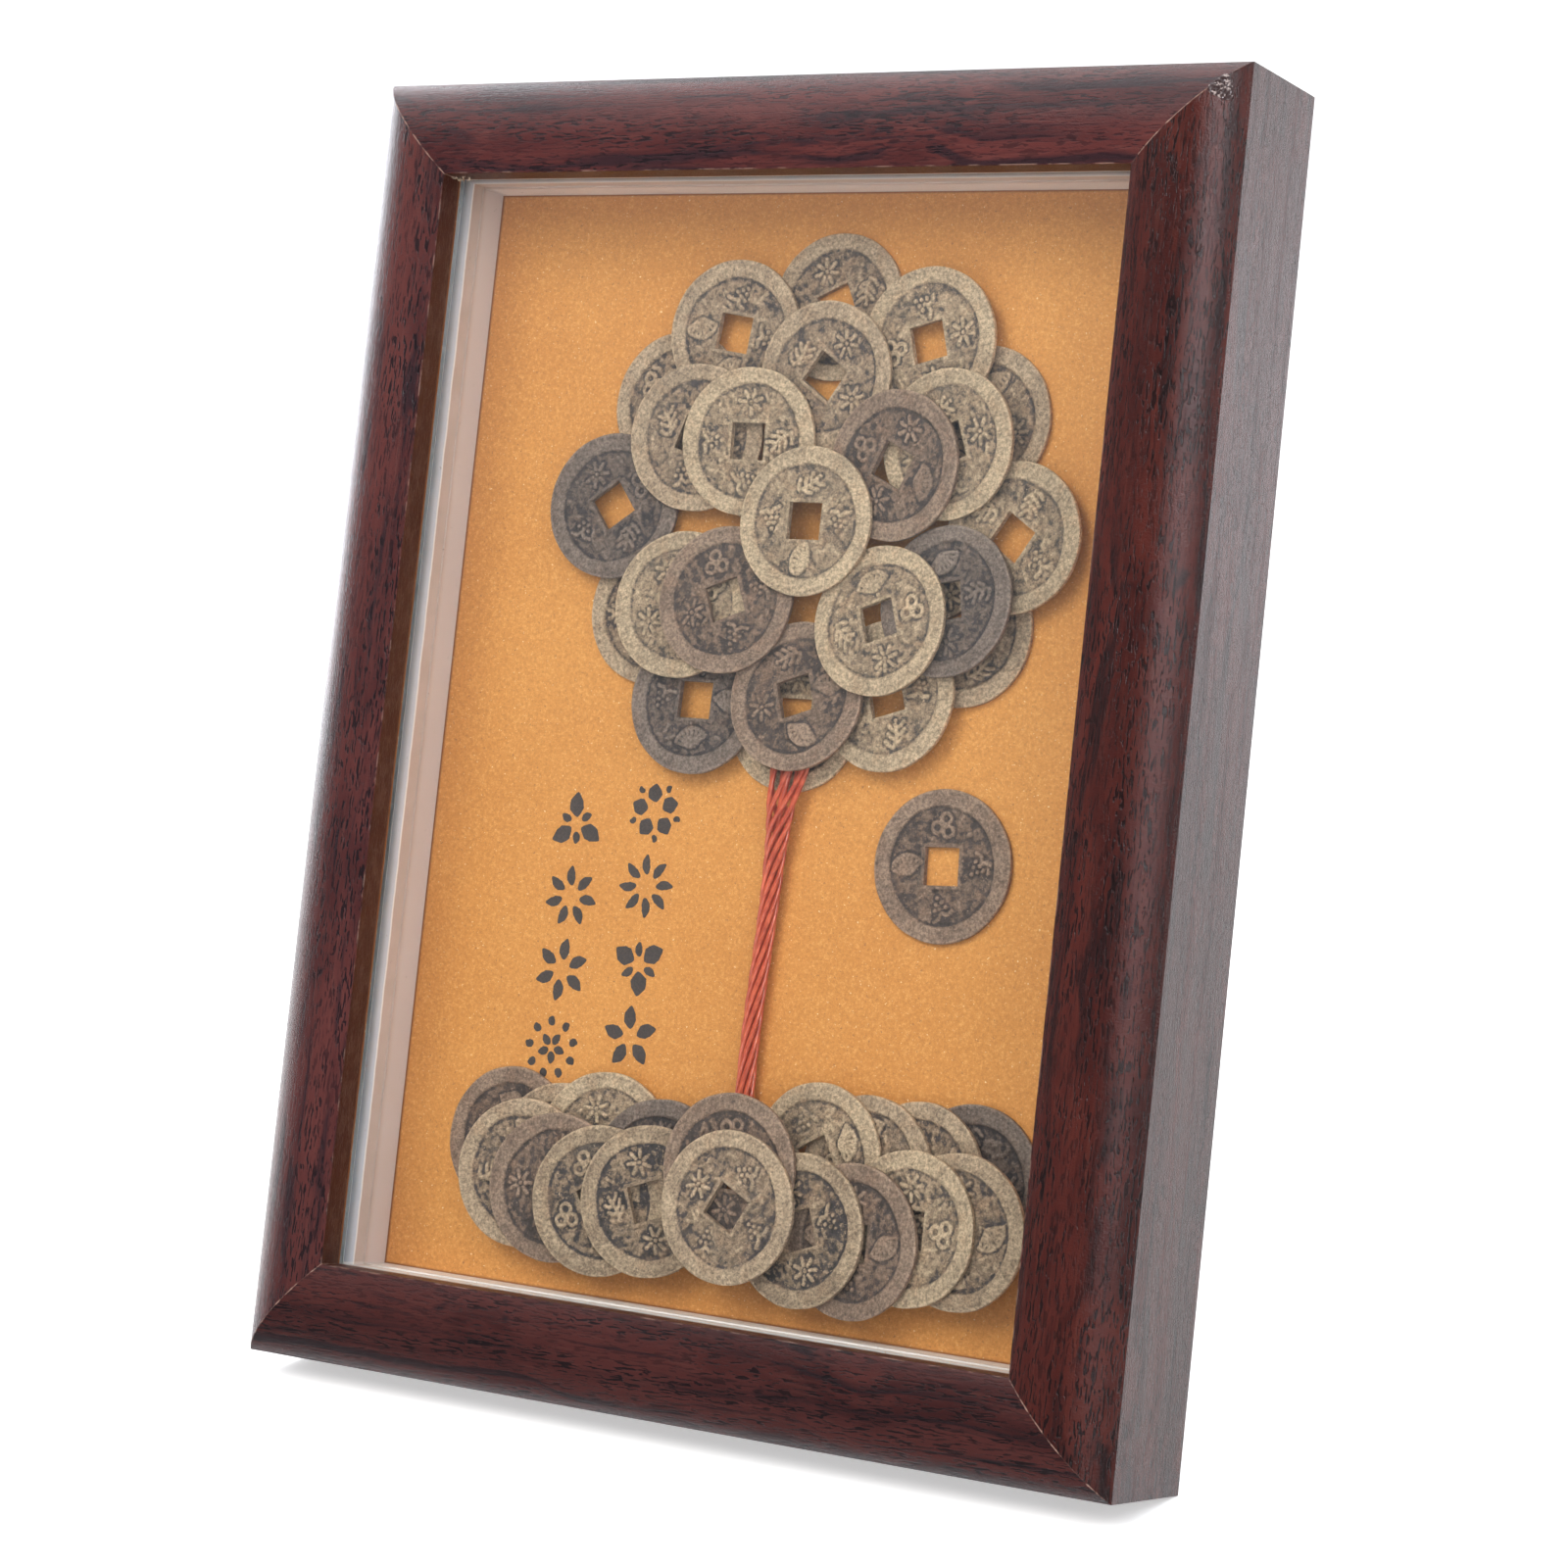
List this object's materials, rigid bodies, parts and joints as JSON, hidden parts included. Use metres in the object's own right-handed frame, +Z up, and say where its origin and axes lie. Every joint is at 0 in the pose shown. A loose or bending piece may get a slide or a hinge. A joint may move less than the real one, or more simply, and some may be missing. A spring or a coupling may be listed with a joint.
{
  "type": "coin display frame",
  "caption": "Standing glass-front frame with a tree of square-holed coins on a red wire trunk over a golden sheet, a folding easel leg, a hanging ring and turn buttons behind.",
  "frame": {"origin": "on the table, at the bottom centre of the box around the frame and its open leg", "axes": "+X to the right seen from the front, +Y from front to back, +Z up"},
  "size_m": [0.152, 0.0698, 0.2031],
  "materials": {
    "moulding": "satin dark walnut foil",
    "glass": "clear polished",
    "spacer": "glossy",
    "gold_sheet": "satin with a fine metallic speckle",
    "mount_board": "matt",
    "packing_card": "matt corrugated",
    "back_panel": "matt black-coated hardboard",
    "red_wire": "glossy lacquer",
    "coin_light": "worn antique",
    "coin_mid": "worn antique",
    "coin_brown": "worn antique",
    "coin_dark": "dark patina",
    "zinc_steel": "zinc plated",
    "brassed_steel": "brass plated",
    "nail_steel": "bright"
  },
  "bodies": {
    "frame": {"rail_top": "moulding", "rail_bottom": "moulding", "stile_left": "moulding", "stile_right": "moulding", "corner_nails": "nail_steel", "glass_pane": "glass", "spacer_top": "spacer", "spacer_bottom": "spacer", "spacer_left": "spacer", "spacer_right": "spacer", "art_sheet": "gold_sheet", "mount_board": "mount_board", "packing_card": "packing_card", "back_panel": "back_panel", "wire_trunk": "red_wire", "lone_coin": "coin_brown", "crown_coin_01": "coin_mid", "crown_coin_02": "coin_mid", "crown_coin_03": "coin_mid", "crown_coin_04": "coin_mid", "crown_coin_05": "coin_mid", "crown_coin_06": "coin_light", "crown_coin_07": "coin_light", "crown_coin_08": "coin_dark", "crown_coin_09": "coin_mid", "crown_coin_10": "coin_light", "crown_coin_11": "coin_dark", "crown_coin_12": "coin_light", "crown_coin_13": "coin_mid", "crown_coin_14": "coin_mid", "crown_coin_15": "coin_light", "crown_coin_16": "coin_dark", "crown_coin_17": "coin_light", "crown_coin_18": "coin_brown", "crown_coin_19": "coin_light", "crown_coin_20": "coin_brown", "crown_coin_21": "coin_brown", "crown_coin_22": "coin_light", "crown_coin_23": "coin_light", "back_row_left": "coin_mid", "back_row_right": "coin_mid", "front_row_left": "coin_mid", "front_row_right": "coin_mid", "back_row_middle": "coin_brown", "front_row_middle": "coin_light", "button_screws": "nail_steel", "hanger_strap": "brassed_steel", "hanger_rivet": "nail_steel", "hinge_fixed_leaf": "zinc_steel", "hinge_pin": "nail_steel", "hinge_panel_rivets": "nail_steel"},
    "leg": {"easel_leg": "back_panel", "hinge_moving_leaf": "zinc_steel", "hinge_leg_rivets": "nail_steel"},
    "ring": {"hanger_ring": "brassed_steel"},
    "button_upper_left": {"turn_button_upper_left": "zinc_steel"},
    "button_upper_right": {"turn_button_upper_right": "zinc_steel"},
    "button_lower_left": {"turn_button_lower_left": "zinc_steel"},
    "button_lower_right": {"turn_button_lower_right": "zinc_steel"}
  },
  "joints": [
    {"name": "easel_hinge", "type": "hinge", "parent": "frame", "child": "leg", "pos_m": [0, 0.01678, 0.11696], "axis": [-1, 0, 0], "range_deg": [0, 20]},
    {"name": "ring_hinge", "type": "hinge", "parent": "frame", "child": "ring", "pos_m": [0, 0.02725, 0.16943], "axis": [1, 0, 0], "range_deg": [-13, 175]},
    {"name": "button_upper_left_pivot", "type": "hinge", "parent": "frame", "child": "button_upper_left", "pos_m": [-0.0697, 0.02016, 0.14434], "axis": [0, 0.9796, -0.2011], "range_deg": [-90, 90]},
    {"name": "button_upper_right_pivot", "type": "hinge", "parent": "frame", "child": "button_upper_right", "pos_m": [0.0697, 0.02016, 0.14434], "axis": [0, 0.9796, -0.2011], "range_deg": [-90, 90]},
    {"name": "button_lower_left_pivot", "type": "hinge", "parent": "frame", "child": "button_lower_left", "pos_m": [-0.0697, 0.00166, 0.05422], "axis": [0, 0.9796, -0.2011], "range_deg": [-90, 90]},
    {"name": "button_lower_right_pivot", "type": "hinge", "parent": "frame", "child": "button_lower_right", "pos_m": [0.0697, 0.00166, 0.05422], "axis": [0, 0.9796, -0.2011], "range_deg": [-90, 90]}
  ]
}
